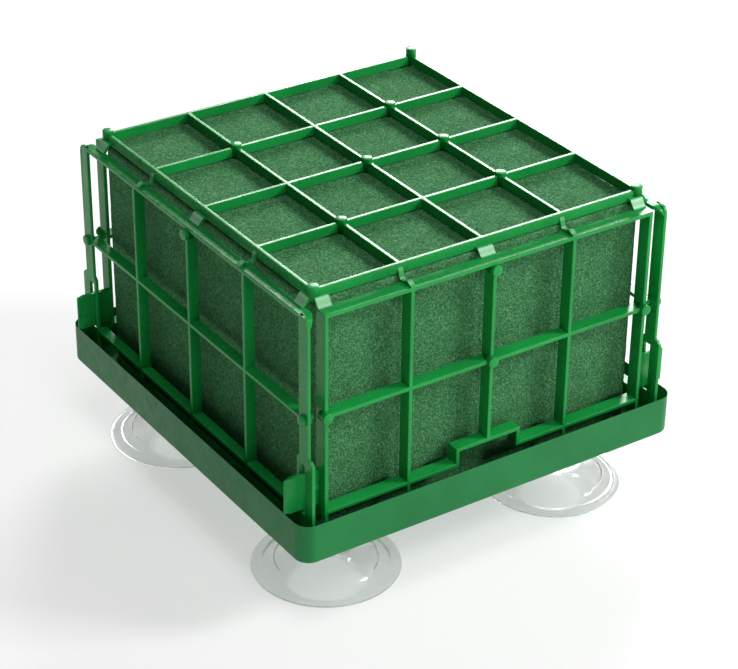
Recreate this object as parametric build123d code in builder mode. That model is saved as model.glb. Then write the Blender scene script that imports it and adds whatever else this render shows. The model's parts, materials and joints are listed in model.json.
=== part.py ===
"""Floral foam brick in a hinged plastic cage, on a tray with four suction cups.

Frame: millimetres, +Z up. The origin is on the floor, under the middle of the tray.
The front long face looks towards -Y, and X runs along it.
The cage is one moulding: a top grid with a side panel hung from each edge by thin straps.
"""
import os

from build123d import *

# ---------------------------------------------------------------- driving dimensions
# Foam: half of a standard dry brick.
FOAM_LENGTH = 110.0  # along X
FOAM_WIDTH = 115.0  # along Y
FOAM_HEIGHT = 73.3
FOAM_EDGE = 1.0  # worn round of the foam's edges
FOAM_CLEARANCE = 0.3  # foam to anything that lifts off it

# Suction cups.
CUP_RADIUS = 22.0
CUP_HEIGHT = 22.8  # floor to the tray's underside
CUP_PITCH_X = 82.5
CUP_PITCH_Y = 85.0
CUP_LIP = 0.5  # thickness of the sealing lip
CUP_EDGE = 0.5  # the hollow starts this far inside the rim
CUP_CONE_TOP = 13.0  # height where the cone meets the neck
CUP_HOLLOW_TOP = 8.0
CUP_FLARE_RADIUS = 13.2  # how far out the flat part of the skirt reaches
CUP_FLARE_HEIGHT = 1.3
CUP_SHOULDER_RADIUS = 7.5
CUP_SHOULDER_HEIGHT = 5.9
CUP_SKIN = 0.6  # skirt's thickness half way out
NECK_RADIUS = 6.0
STEM_RADIUS = 4.0
HEAD_LIP = 1.6  # head beyond the stem
HEAD_HEIGHT = 2.2
RUNNING_CLEARANCE = 0.05  # radial, stem in the tray's hole
AXIAL_CLEARANCE = 0.1

# Tray.
TRAY_HEIGHT = 12.5
TRAY_WALL = 1.7
TRAY_FLOOR = 2.0
TRAY_CORNER = 4.6
TRAY_BOTTOM_ROUND = 0.8
RIM_GAP = 2.8  # panels' outer faces to the inside of the rim

# Cage ribs.
GRID_CELLS = 4
GRID_MARGIN_X = 0.15  # grid beyond the foam, each end
GRID_MARGIN_Y = -0.3
RIB = 1.2  # thickness of every rib, bar and rail
GRID_DEPTH = 3.0
HINGE_GAP = 2.1  # grid's outer face to a panel's inner face
HINGE_REACH = 2.8  # grid's outer face to the hinge line
RAIL_DROP = 1.5  # underside of the grid to the top of the top rails
RIM_COVER = 0.3  # bottom rails sit this far below the tray's rim
END_DEPTH = 4.3  # front and back panels
SIDE_DEPTH = 3.4  # left and right panels
TIP_DROP = 2.2  # points of the bars below the bottom rail
PANEL_INSET = 0.45  # front panel's end bars inside the grid's ends
PANEL_BAYS = 4

# Round pins and knobs left by the ejector pins.
PIN_RADIUS = 1.65
PIN_STAND = 1.2
TALL_PIN_STAND = 2.6  # the pin at the back right corner
KNOB_STAND = 1.2
KNOB_DROP = 2.6  # knob centre below the top rail's upper face

# Notch in the middle of the front and back bottom rails.
NOTCH_WIDTH = 20.0
NOTCH_RISE = 5.0

# Side panels' end posts and slotted feet, and the tabs that pass through them.
POST_WIDTH = 4.4
PLATE = 1.0  # thickness of posts and feet
POST_OVERLAP = 0.1  # post's outer edge inside the front panel's outer face
BEND_RADIUS = 3.0
FOOT_JOG = 2.2  # foot beyond the post's outer edge
FOOT_COLUMN = 3.8
FOOT_LEG = 1.2
FOOT_CAP = 2.5  # top of the foot above its slot
FOOT_CHAMFER = 1.1
TAB = 1.3  # tab thickness
TAB_HEIGHT = 11.3
TAB_RISE = 0.9  # tab's lower edge above the rim
TAB_CLEARANCE = 0.3  # between the tab and the inner side of its slot
SLOT_PLAY = 1.2  # between the tab and the outer side of its slot
SLOT_BELOW = 1.2  # slot below the tab
SLOT_ABOVE = 3.5  # slot above the tab
TAB_STAND = 5.6  # tab beyond the side panel's outer face
TAB_LEAD = 2.0  # slope of the tab's end
TAB_LEAD_THIN = 0.4  # thickness taken off each side of the tab's end
DIMPLE_RADIUS = 1.15
DIMPLE_STAND = 0.3

# Hinge straps.
STRAP = 0.9  # thickness
STRAP_GAP = 0.3  # strap's lower end to the top rail
STRAP_END_GAP = 0.4  # strap's outer face to the hinge line
CORNER_STRAP = 4.2
CENTRE_STRAP = 5.0
QUARTER_STRAP = 1.6

# ---------------------------------------------------------------- derived places
tray_bottom = CUP_HEIGHT
floor_top = tray_bottom + TRAY_FLOOR
rim_top = tray_bottom + TRAY_HEIGHT
foam_top = floor_top + FOAM_HEIGHT
grid_bottom = foam_top + FOAM_CLEARANCE
grid_top = grid_bottom + GRID_DEPTH
grid_half_x = FOAM_LENGTH / 2 + GRID_MARGIN_X
grid_half_y = FOAM_WIDTH / 2 + GRID_MARGIN_Y
rib_half_x = grid_half_x - RIB / 2
rib_half_y = grid_half_y - RIB / 2

end_inner = grid_half_y + HINGE_GAP
end_outer = end_inner + END_DEPTH
side_inner = grid_half_x + HINGE_GAP
side_outer = side_inner + SIDE_DEPTH
tray_half_x = side_outer + RIM_GAP + TRAY_WALL
tray_half_y = end_outer + RIM_GAP + TRAY_WALL

rail_top = grid_bottom - RAIL_DROP
rail_low = rim_top - RIM_COVER
rail_mid = (rail_top + rail_low) / 2
rails = (rail_top, rail_mid, rail_low)

end_half = grid_half_x - PANEL_INSET  # middle of the front panel's end bars
post_edge = end_outer - POST_OVERLAP
post_middle = post_edge - POST_WIDTH / 2
tab_low = rim_top + TAB_RISE
tab_high = tab_low + TAB_HEIGHT
tab_end = side_outer + TAB_STAND
slot_low = tab_low - SLOT_BELOW
slot_high = tab_high + SLOT_ABOVE
foot_edge = post_edge + FOOT_JOG
slot_outer = foot_edge - FOOT_COLUMN
tab_middle = slot_outer - SLOT_PLAY - TAB / 2
slot_inner = tab_middle - TAB / 2 - TAB_CLEARANCE
foot_inner = slot_inner - FOOT_LEG
foot_bottom = floor_top + FOAM_CLEARANCE
foot_top = slot_high + FOOT_CAP
head_radius = STEM_RADIUS + HEAD_LIP
bend_low = rail_top - BEND_RADIUS

end_face = Plane(origin=(0, -end_inner, 0), x_dir=(1, 0, 0), z_dir=(0, -1, 0))
side_face = Plane(origin=(-side_inner, 0, 0), x_dir=(0, -1, 0), z_dir=(-1, 0, 0))


def spread(half, count):
    """Even positions from -half to +half, one more than the number of bays."""
    return [half * (2 * i / count - 1) for i in range(count + 1)]


def bar_outline(middle, low, high):
    """Add an upright bar to the open sketch."""
    with Locations((middle, (low + high) / 2)):
        Rectangle(RIB, high - low)


def rail_outline(top, half):
    """Add a level rail to the open sketch."""
    with Locations((0, top - RIB / 2)):
        Rectangle(2 * half, RIB)


def point_under_bars(plane, middles, depth):
    """Add the small points that the bars end in below the bottom rail."""
    for middle in middles:
        across = Plane(
            origin=plane.from_local_coords((middle - RIB / 2, rail_low - RIB, 0)),
            x_dir=plane.z_dir,
            z_dir=plane.x_dir,
        )
        with BuildSketch(across) as point:
            with BuildLine():
                Polyline((0, 0), (depth, 0), (depth, -TIP_DROP), (0, 0))
            make_face()
        extrude(point.sketch, amount=RIB)


def rounded_top(low):
    """Rectangle from this height up to the top rail's upper face, its two top corners rounded."""
    with BuildSketch(mode=Mode.PRIVATE) as outline:
        with Locations((0, rail_top)):
            Rectangle(2 * post_edge, rail_top - low, align=(Align.CENTER, Align.MAX))
        fillet(outline.vertices().group_by(Axis.Y)[-1], BEND_RADIUS)
    return outline.sketch


os.makedirs("parts", exist_ok=True)

# ---------------------------------------------------------------- tray
with BuildPart() as tray:
    with BuildSketch(Plane.XY.offset(tray_bottom)):
        RectangleRounded(2 * tray_half_x, 2 * tray_half_y, TRAY_CORNER)
    extrude(amount=TRAY_HEIGHT)
    fillet(tray.edges().group_by(Axis.Z)[0], TRAY_BOTTOM_ROUND)
    with BuildSketch(Plane.XY.offset(floor_top)):
        RectangleRounded(
            2 * (tray_half_x - TRAY_WALL), 2 * (tray_half_y - TRAY_WALL), TRAY_CORNER - TRAY_WALL
        )
    extrude(amount=TRAY_HEIGHT, mode=Mode.SUBTRACT)
    with Locations((0, 0, floor_top)):
        with GridLocations(CUP_PITCH_X, CUP_PITCH_Y, 2, 2):
            Hole(STEM_RADIUS + RUNNING_CLEARANCE, depth=TRAY_FLOOR)
tray.part.label = "tray"

# ---------------------------------------------------------------- foam
with BuildPart() as foam_brick:
    with BuildSketch(Plane.XY.offset(floor_top)):
        Rectangle(FOAM_LENGTH, FOAM_WIDTH)
    extrude(amount=FOAM_HEIGHT)
    chamfer(foam_brick.edges().filter_by(Axis.Z), FOAM_EDGE)
    chamfer(foam_brick.faces().sort_by(Axis.Z)[-1].edges(), FOAM_EDGE)
    # The cups' heads press into the underside.
    with Locations((0, 0, floor_top)):
        with GridLocations(CUP_PITCH_X, CUP_PITCH_Y, 2, 2):
            Cylinder(
                head_radius + FOAM_CLEARANCE,
                AXIAL_CLEARANCE + HEAD_HEIGHT + FOAM_CLEARANCE,
                align=(Align.CENTER, Align.CENTER, Align.MIN),
                mode=Mode.SUBTRACT,
            )
foam_brick.part.label = "foam_brick"

# ---------------------------------------------------------------- top grid
rib_x = spread(rib_half_x, GRID_CELLS)
rib_y = spread(rib_half_y, GRID_CELLS)
corner_pins = [(x, y) for x in (rib_x[0], rib_x[-1]) for y in (rib_y[0], rib_y[-1])]
cross_pins = [(rib_x[i], rib_y[j]) for i, j in ((1, 1), (3, 1), (2, 2), (3, 2), (1, 3), (3, 3))]

with BuildPart() as top_grid:
    with BuildSketch(Plane.XY.offset(grid_bottom)):
        for x in rib_x:
            bar_outline(x, -grid_half_y, grid_half_y)
        for y in rib_y:
            with Locations((0, y)):
                Rectangle(2 * grid_half_x, RIB)
    extrude(amount=GRID_DEPTH)
    with BuildSketch(Plane.XY.offset(grid_bottom)):
        with Locations(*corner_pins, *cross_pins):
            Circle(PIN_RADIUS)
    extrude(amount=GRID_DEPTH + PIN_STAND)
    with BuildSketch(Plane.XY.offset(grid_bottom)):
        with Locations(corner_pins[-1]):
            Circle(PIN_RADIUS)
    extrude(amount=GRID_DEPTH + TALL_PIN_STAND)
top_grid.part.label = "top_grid"

# ---------------------------------------------------------------- front and back panels
end_bars = spread(end_half, PANEL_BAYS)
end_bar_low = rail_low - RIB

with BuildPart() as front_panel:
    with BuildSketch(end_face):
        for top in rails:
            rail_outline(top, end_half + RIB / 2)
        for x in end_bars:
            bar_outline(x, end_bar_low, rail_top)
        # The bottom rail steps up over a notch in the middle.
        with Locations((0, rail_low - RIB)):
            Rectangle(
                NOTCH_WIDTH, NOTCH_RISE, align=(Align.CENTER, Align.MIN), mode=Mode.SUBTRACT
            )
        rail_outline(rail_low + NOTCH_RISE, NOTCH_WIDTH / 2 + RIB)
        for side in (-1, 1):
            bar_outline(side * (NOTCH_WIDTH + RIB) / 2, end_bar_low, rail_low + NOTCH_RISE)
    extrude(amount=END_DEPTH)
    point_under_bars(end_face, [x for x in end_bars if x], END_DEPTH)
    with BuildSketch(end_face.offset(END_DEPTH)):
        with Locations(*[(end_bars[i], rail_mid - RIB / 2) for i in (0, 2, 4)]):
            Circle(PIN_RADIUS)
        with Locations((end_bars[2], rail_top - KNOB_DROP)):
            Circle(PIN_RADIUS)
    extrude(amount=KNOB_STAND)
    # Locking tabs, one at each end, pointed so that they enter the feet.
    for side in (-1, 1):
        with BuildSketch(Plane.XY.offset(tab_low)):
            with BuildLine():
                Polyline(
                    (side * end_half, -tab_middle - TAB / 2),
                    (side * (tab_end - TAB_LEAD), -tab_middle - TAB / 2),
                    (side * tab_end, -tab_middle - TAB / 2 + TAB_LEAD_THIN),
                    (side * tab_end, -tab_middle + TAB / 2 - TAB_LEAD_THIN),
                    (side * (tab_end - TAB_LEAD), -tab_middle + TAB / 2),
                    (side * end_half, -tab_middle + TAB / 2),
                    close=True,
                )
            make_face()
        extrude(amount=TAB_HEIGHT)
    dimple_x = (end_half + side_inner) / 2
    with BuildSketch(Plane(origin=(0, -tab_middle, 0), x_dir=(1, 0, 0), z_dir=(0, -1, 0))):
        with Locations(*[(side * dimple_x, (tab_low + tab_high) / 2) for side in (-1, 1)]):
            Circle(DIMPLE_RADIUS)
    extrude(amount=TAB / 2 + DIMPLE_STAND)
front_panel.part.label = "front_panel"

with BuildPart() as back_panel:
    mirror(front_panel.part, about=Plane.XZ)
back_panel.part.label = "back_panel"

# ---------------------------------------------------------------- left and right panels
side_bars = spread(post_middle, PANEL_BAYS)
inner_bars = side_bars[1:-1]

with BuildPart() as left_panel:
    with BuildSketch(side_face):
        # The top rail bends down into the posts at both ends.
        add(rounded_top(rail_mid))
        offset(amount=-RIB, mode=Mode.SUBTRACT)
        with Locations((0, bend_low)):
            Rectangle(
                2 * post_edge, bend_low, align=(Align.CENTER, Align.MAX), mode=Mode.SUBTRACT
            )
        rail_outline(rail_mid, post_middle)
        rail_outline(rail_low, foot_inner + RIB)
        for y in inner_bars:
            bar_outline(y, rail_low - RIB, rail_top)
    extrude(amount=SIDE_DEPTH)
    point_under_bars(side_face, inner_bars, SIDE_DEPTH)
    # The posts and the feet are flat strips, flush with the outer face.
    with BuildSketch(side_face.offset(SIDE_DEPTH - PLATE)):
        add(rounded_top(foot_top - FOOT_CHAMFER))
        with Locations((0, rail_top)):
            Rectangle(
                2 * (post_edge - POST_WIDTH),
                rail_top,
                align=(Align.CENTER, Align.MAX),
                mode=Mode.SUBTRACT,
            )
        for side in (-1, 1):
            with BuildLine():
                Polyline(
                    (side * foot_inner, foot_bottom),
                    (side * foot_inner, foot_top - FOOT_CHAMFER),
                    (side * (foot_inner + FOOT_CHAMFER), foot_top),
                    (side * (foot_edge - FOOT_CHAMFER), foot_top),
                    (side * foot_edge, foot_top - FOOT_CHAMFER),
                    (side * foot_edge, foot_bottom),
                    close=True,
                )
            make_face()
        for side in (-1, 1):
            with Locations((side * (slot_inner + slot_outer) / 2, (slot_low + slot_high) / 2)):
                Rectangle(slot_outer - slot_inner, slot_high - slot_low, mode=Mode.SUBTRACT)
    extrude(amount=PLATE)
    with BuildSketch(side_face.offset(SIDE_DEPTH)):
        with Locations(*[(y, rail_mid - RIB / 2) for y in (side_bars[0], side_bars[-1])]):
            Circle(PIN_RADIUS)
        with Locations((0, rail_top - KNOB_DROP)):
            Circle(PIN_RADIUS)
    extrude(amount=KNOB_STAND)
left_panel.part.label = "left_panel"

with BuildPart() as right_panel:
    mirror(left_panel.part, about=Plane.YZ)
right_panel.part.label = "right_panel"

# ---------------------------------------------------------------- hinge straps
# Each panel hangs from two wide straps at the corners, one in the middle and two narrow ones.
# A strap stands out from the grid's underside and turns down to its panel's top rail.
strap_out = HINGE_REACH - STRAP_END_GAP
strap_section = (
    (0, grid_bottom),
    (0, grid_bottom + STRAP),
    (strap_out, grid_bottom + STRAP),
    (strap_out, rail_top + STRAP_GAP),
    (strap_out - STRAP, rail_top + STRAP_GAP),
    (strap_out - STRAP, grid_bottom),
)


def strap_rows(half):
    """Names, widths and places along a grid edge of half this length."""
    corner = half - CORNER_STRAP / 2
    quarter = (half - RIB / 2) / 2
    return (
        ("corner_hinges", CORNER_STRAP, (-corner, corner)),
        ("centre_hinge", CENTRE_STRAP, (0,)),
        ("quarter_hinges", QUARTER_STRAP, (-quarter, quarter)),
    )


hinges = []
for side, outward in (
    ("front", Vector(0, -1, 0)),
    ("back", Vector(0, 1, 0)),
    ("left", Vector(-1, 0, 0)),
    ("right", Vector(1, 0, 0)),
):
    along = Vector(0, 0, 1).cross(outward)
    half, edge = (grid_half_x, grid_half_y) if outward.X == 0 else (grid_half_y, grid_half_x)
    for kind, width, middles in strap_rows(half):
        with BuildPart() as strap:
            for middle in middles:
                with BuildSketch(
                    Plane(origin=outward * edge + along * middle, x_dir=outward, z_dir=-along)
                ):
                    with BuildLine():
                        Polyline(*strap_section, close=True)
                    make_face()
                extrude(amount=width / 2, both=True)
            with BuildSketch(Plane.XY.offset(rail_top)):
                with Locations(*corner_pins):
                    Circle(PIN_RADIUS)
            extrude(amount=grid_top - rail_top, mode=Mode.SUBTRACT)
        strap.part.label = f"{side}_{kind}"
        hinges.append(strap.part)

# ---------------------------------------------------------------- suction cups
cups = []
for row, y in (("front", -CUP_PITCH_Y / 2), ("rear", CUP_PITCH_Y / 2)):
    for column, x in (("left", -CUP_PITCH_X / 2), ("right", CUP_PITCH_X / 2)):
        with BuildPart() as cup:
            with BuildSketch(Plane(origin=(x, y, 0), x_dir=(1, 0, 0), z_dir=(0, -1, 0))):
                with BuildLine():
                    Line((CUP_RADIUS - CUP_EDGE, 0), (CUP_RADIUS, 0))
                    Line((CUP_RADIUS, 0), (CUP_RADIUS, CUP_LIP))
                    Bezier(
                        (CUP_RADIUS, CUP_LIP),
                        (CUP_FLARE_RADIUS, CUP_FLARE_HEIGHT),
                        (CUP_SHOULDER_RADIUS, CUP_SHOULDER_HEIGHT),
                        (NECK_RADIUS, CUP_CONE_TOP),
                    )
                    head_low = floor_top + AXIAL_CLEARANCE
                    Polyline(
                        (NECK_RADIUS, CUP_CONE_TOP),
                        (NECK_RADIUS, tray_bottom - AXIAL_CLEARANCE),
                        (STEM_RADIUS, tray_bottom - AXIAL_CLEARANCE),
                        (STEM_RADIUS, head_low),
                        (head_radius, head_low),
                    )
                    Spline(
                        (head_radius, head_low),
                        (0, head_low + HEAD_HEIGHT),
                        tangents=((0, 1), (-1, 0)),
                    )
                    Line((0, head_low + HEAD_HEIGHT), (0, CUP_HOLLOW_TOP))
                    Bezier(
                        (0, CUP_HOLLOW_TOP),
                        (CUP_SHOULDER_RADIUS + 2 * CUP_SKIN, CUP_HOLLOW_TOP),
                        (CUP_FLARE_RADIUS, CUP_FLARE_HEIGHT - CUP_SKIN),
                        (CUP_RADIUS - CUP_EDGE, 0),
                    )
                make_face()
            revolve(axis=Axis((x, y, 0), (0, 0, 1)))
        cup.part.label = f"suction_cup_{row}_{column}"
        cups.append(cup.part)

# ---------------------------------------------------------------- export
pieces = [
    tray.part,
    foam_brick.part,
    top_grid.part,
    front_panel.part,
    back_panel.part,
    left_panel.part,
    right_panel.part,
    *hinges,
    *cups,
]
for piece in pieces:
    export_step(piece, f"parts/{piece.label}.step")
print(len(pieces), "pieces, top of the tallest pin", round(grid_top + TALL_PIN_STAND, 2))
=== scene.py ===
# %% [markdown]
# # A floral foam brick in its cage
#
# Florists fix a block of green foam to a shop window or a table with four suction cups. A thin
# plastic cage keeps the block together while stems are pushed into it. The cage is one moulding:
# a grid on top, and a panel that hangs from each edge of the grid by small bending straps.
#
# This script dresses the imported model. Each piece is modelled at its place in the frame, gets
# its own material, and is tied to the body that it moves with.

# %% Load the frame
import json
import math

import bmesh
import bpy
from mathutils import Matrix, Vector
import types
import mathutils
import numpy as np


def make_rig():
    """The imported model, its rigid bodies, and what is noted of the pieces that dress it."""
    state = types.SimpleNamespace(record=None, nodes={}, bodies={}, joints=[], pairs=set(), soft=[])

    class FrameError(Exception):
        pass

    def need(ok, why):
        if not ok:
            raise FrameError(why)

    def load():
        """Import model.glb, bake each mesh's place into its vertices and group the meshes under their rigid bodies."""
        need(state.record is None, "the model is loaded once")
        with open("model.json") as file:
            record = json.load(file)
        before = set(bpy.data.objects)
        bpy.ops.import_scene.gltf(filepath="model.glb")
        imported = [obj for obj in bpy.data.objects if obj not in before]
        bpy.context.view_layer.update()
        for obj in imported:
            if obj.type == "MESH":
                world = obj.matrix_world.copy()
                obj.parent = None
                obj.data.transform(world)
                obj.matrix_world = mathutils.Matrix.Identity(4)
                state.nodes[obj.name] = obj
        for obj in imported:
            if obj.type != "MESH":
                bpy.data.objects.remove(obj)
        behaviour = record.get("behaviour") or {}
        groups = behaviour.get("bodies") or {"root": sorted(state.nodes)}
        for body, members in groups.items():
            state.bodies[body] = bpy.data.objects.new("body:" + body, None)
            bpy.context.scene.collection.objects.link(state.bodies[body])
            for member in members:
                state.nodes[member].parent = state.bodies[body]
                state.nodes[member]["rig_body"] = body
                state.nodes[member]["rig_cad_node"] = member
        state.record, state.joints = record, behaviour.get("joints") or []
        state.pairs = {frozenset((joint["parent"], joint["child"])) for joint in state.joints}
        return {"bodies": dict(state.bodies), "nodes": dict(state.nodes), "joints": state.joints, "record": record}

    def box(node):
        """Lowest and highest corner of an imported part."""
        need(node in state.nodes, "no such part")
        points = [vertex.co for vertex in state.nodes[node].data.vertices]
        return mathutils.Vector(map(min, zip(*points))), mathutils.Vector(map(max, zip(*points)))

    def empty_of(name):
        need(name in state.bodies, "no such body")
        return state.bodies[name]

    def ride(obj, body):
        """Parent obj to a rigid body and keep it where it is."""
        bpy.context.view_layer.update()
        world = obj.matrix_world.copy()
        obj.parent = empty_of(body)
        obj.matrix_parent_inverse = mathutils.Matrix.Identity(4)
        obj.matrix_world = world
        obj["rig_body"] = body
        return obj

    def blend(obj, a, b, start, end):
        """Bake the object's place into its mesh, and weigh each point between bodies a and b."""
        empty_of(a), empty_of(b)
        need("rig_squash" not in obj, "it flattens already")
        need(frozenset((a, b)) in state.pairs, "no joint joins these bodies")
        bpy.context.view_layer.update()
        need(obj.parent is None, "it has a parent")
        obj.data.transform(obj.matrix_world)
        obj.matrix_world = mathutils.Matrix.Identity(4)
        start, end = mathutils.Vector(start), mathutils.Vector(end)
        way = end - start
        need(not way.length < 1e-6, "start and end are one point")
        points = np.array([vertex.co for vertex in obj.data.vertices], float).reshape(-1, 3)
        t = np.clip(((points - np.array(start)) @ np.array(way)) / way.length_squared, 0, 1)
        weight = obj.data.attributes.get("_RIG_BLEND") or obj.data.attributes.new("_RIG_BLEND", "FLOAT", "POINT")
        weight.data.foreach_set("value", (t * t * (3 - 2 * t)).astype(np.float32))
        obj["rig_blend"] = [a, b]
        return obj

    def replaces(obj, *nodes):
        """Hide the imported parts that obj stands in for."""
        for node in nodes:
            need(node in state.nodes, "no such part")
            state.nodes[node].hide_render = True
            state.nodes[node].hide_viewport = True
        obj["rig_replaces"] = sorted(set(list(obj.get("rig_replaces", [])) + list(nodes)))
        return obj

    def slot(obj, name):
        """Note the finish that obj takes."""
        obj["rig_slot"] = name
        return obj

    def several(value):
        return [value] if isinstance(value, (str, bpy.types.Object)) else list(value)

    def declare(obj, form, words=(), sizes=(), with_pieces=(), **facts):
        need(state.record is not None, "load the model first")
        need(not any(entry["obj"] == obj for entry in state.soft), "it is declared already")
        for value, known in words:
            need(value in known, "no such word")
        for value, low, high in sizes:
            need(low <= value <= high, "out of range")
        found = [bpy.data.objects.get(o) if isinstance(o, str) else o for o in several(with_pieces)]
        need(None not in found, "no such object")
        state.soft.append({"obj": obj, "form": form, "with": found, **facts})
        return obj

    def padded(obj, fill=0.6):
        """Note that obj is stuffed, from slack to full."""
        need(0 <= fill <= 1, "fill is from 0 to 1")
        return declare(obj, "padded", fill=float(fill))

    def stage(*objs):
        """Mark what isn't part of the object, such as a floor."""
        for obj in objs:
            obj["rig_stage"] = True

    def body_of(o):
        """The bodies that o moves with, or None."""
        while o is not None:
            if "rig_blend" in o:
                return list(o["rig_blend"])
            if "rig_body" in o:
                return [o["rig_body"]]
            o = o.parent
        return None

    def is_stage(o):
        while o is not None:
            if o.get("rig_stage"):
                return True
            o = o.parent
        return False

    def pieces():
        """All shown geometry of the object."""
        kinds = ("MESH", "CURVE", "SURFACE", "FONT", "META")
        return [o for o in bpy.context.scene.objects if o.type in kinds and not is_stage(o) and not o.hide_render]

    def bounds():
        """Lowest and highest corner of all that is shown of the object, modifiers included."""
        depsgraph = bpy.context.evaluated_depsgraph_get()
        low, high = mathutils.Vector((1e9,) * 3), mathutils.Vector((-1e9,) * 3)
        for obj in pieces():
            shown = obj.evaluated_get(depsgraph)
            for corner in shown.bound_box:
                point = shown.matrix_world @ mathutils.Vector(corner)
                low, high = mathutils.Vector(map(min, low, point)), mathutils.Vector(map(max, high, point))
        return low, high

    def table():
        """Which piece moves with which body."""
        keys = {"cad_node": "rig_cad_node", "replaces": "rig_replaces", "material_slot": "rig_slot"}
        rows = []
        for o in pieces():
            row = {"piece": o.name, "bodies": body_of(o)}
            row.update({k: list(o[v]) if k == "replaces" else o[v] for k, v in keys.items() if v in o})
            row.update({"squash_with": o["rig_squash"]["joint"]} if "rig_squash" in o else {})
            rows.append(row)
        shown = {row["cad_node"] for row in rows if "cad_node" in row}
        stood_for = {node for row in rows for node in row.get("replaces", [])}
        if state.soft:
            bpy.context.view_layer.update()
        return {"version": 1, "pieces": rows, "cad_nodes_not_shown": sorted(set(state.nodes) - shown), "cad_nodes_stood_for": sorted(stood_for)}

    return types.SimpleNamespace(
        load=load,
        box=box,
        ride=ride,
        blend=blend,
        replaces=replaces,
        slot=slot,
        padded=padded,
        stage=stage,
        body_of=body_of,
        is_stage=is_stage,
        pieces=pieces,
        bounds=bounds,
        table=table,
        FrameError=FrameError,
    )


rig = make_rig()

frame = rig.load()
cad_low, cad_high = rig.bounds()
MM = 0.001
print("frame size in mm", [round(side / MM, 1) for side in cad_high - cad_low])

# %% [markdown]
# ## Where things are
#
# Lengths and places come from the frame, so the pieces follow the design. Only sizes that no
# box can tell, such as the thickness of a rib, are written here.

# %% Read places from the frame
foam_low, foam_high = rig.box("foam_brick")
tray_low, tray_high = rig.box("tray")
grid_low, grid_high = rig.box("top_grid")
end_low, end_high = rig.box("front_panel")
side_low, side_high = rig.box("left_panel")
strap_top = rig.box("front_centre_hinge")[1].z
cup_low, cup_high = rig.box("suction_cup_front_left")

RIB = 1.2 * MM  # thickness of every rib, rail and bar
PIN_RADIUS = 1.65 * MM
KNOB_STAND = 1.2 * MM  # how far the panels' round pins stand out
GRID_DEPTH = 3.0 * MM
END_DEPTH = 4.3 * MM
SIDE_DEPTH = 3.4 * MM
RAIL_DROP = 1.5 * MM  # from the grid's underside to the panels' top rails
RIM_COVER = 0.3 * MM  # how far the tray's rim covers the panels' bottom rails
TOUCHING = 1e-6  # places nearer than this, in metres, count as the same

grid_bottom = grid_low.z
grid_half_x = grid_high.x - (PIN_RADIUS - RIB / 2)
grid_half_y = grid_high.y - (PIN_RADIUS - RIB / 2)
end_outer = -end_low.y - KNOB_STAND
end_inner = end_outer - END_DEPTH
side_outer = -side_low.x - KNOB_STAND
side_inner = side_outer - SIDE_DEPTH
rail_top = grid_bottom - RAIL_DROP
rail_low = tray_high.z - RIM_COVER
rail_mid = (rail_top + rail_low) / 2
rails = (rail_top, rail_mid, rail_low)
print("rails at", [round(rail / MM, 2) for rail in rails], "mm above the floor")

# %% [markdown]
# ## Camera
#
# The view looks down on one corner at about thirty degrees, from less than a metre away, so the
# far ribs draw together slightly. A long lens keeps that and fills the picture.

# %% Place the camera
VIEW_AZIMUTH = math.radians(-35.0)
VIEW_ELEVATION = math.radians(30.66)
VIEW_ROLL = math.radians(0.68)
VIEW_DISTANCE = 718.8 * MM
LENS = 113.5  # on a sensor 36 mm wide
view_target = Vector((14.5, 0.0, 29.6)) * MM
view_aim = Vector((1.5, 0.0, 42.5)) * MM

view_back = Vector((
    math.sin(VIEW_AZIMUTH) * math.cos(VIEW_ELEVATION),
    -math.cos(VIEW_AZIMUTH) * math.cos(VIEW_ELEVATION),
    math.sin(VIEW_ELEVATION),
))
camera = bpy.data.objects.new("camera", bpy.data.cameras.new("camera"))
bpy.context.scene.collection.objects.link(camera)
camera.location = view_target + view_back * VIEW_DISTANCE
turn = (view_aim - camera.location).to_track_quat("-Z", "Y")
camera.rotation_euler = (turn.to_matrix() @ Matrix.Rotation(VIEW_ROLL, 3, "Z")).to_euler()
camera.data.lens = LENS
camera.data.clip_start = 10 * MM
bpy.context.scene.camera = camera
print("camera stands at", [round(value, 3) for value in camera.location])

# %% [markdown]
# ## Light
#
# The object stands on a lit white table, with four square soft lamps round it: a key lamp in
# front on the right, a low one in front, one overhead, and the strongest behind on the right,
# which shines along the tops of the ribs and draws them white. The room itself is nearly dark,
# so the sides that no lamp reaches stay deep green. The plain "Standard" view keeps the plastic
# as saturated as its colours are written.

# %% Hang the lamps
def softbox(name, place, size, watts):
    """A square lamp at this place in metres, turned to the middle of the object."""
    lamp = bpy.data.objects.new(name, bpy.data.lights.new(name, "AREA"))
    bpy.context.scene.collection.objects.link(lamp)
    lamp.location = place
    lamp.rotation_euler = (view_aim - Vector(place)).to_track_quat("-Z", "Y").to_euler()
    lamp.data.shape = "SQUARE"
    lamp.data.size = size
    lamp.data.energy = watts
    return lamp


# Name, place in metres, side in metres, power in watts.
softbox("key_lamp", (0.8, -0.6, 0.72), 0.3, 11.0)
softbox("front_lamp", (0.1, -1.1, 0.3), 0.5, 3.5)
softbox("overhead_lamp", (-0.15, -0.3, 1.15), 0.45, 4.5)
softbox("back_lamp", (0.72, 0.85, 0.6), 0.45, 15.0)

room = bpy.data.worlds.new("dim_room")
room.use_nodes = True
room_light = room.node_tree.nodes["Background"]
room_light.inputs["Color"].default_value = (0.95, 0.98, 1.0, 1.0)
room_light.inputs["Strength"].default_value = 0.06
bpy.context.scene.world = room
bpy.context.scene.view_settings.view_transform = "Standard"
print("four lamps and a dim room")

# %% [markdown]
# ## Materials: helpers
#
# Colours are picked as sRGB hex values, but shaders work in linear light, so one function turns
# them. A second one adds a node, sets it and links it in a single call, and the others start a
# material, size a noise by its cells and lay colours along a ramp.

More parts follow.
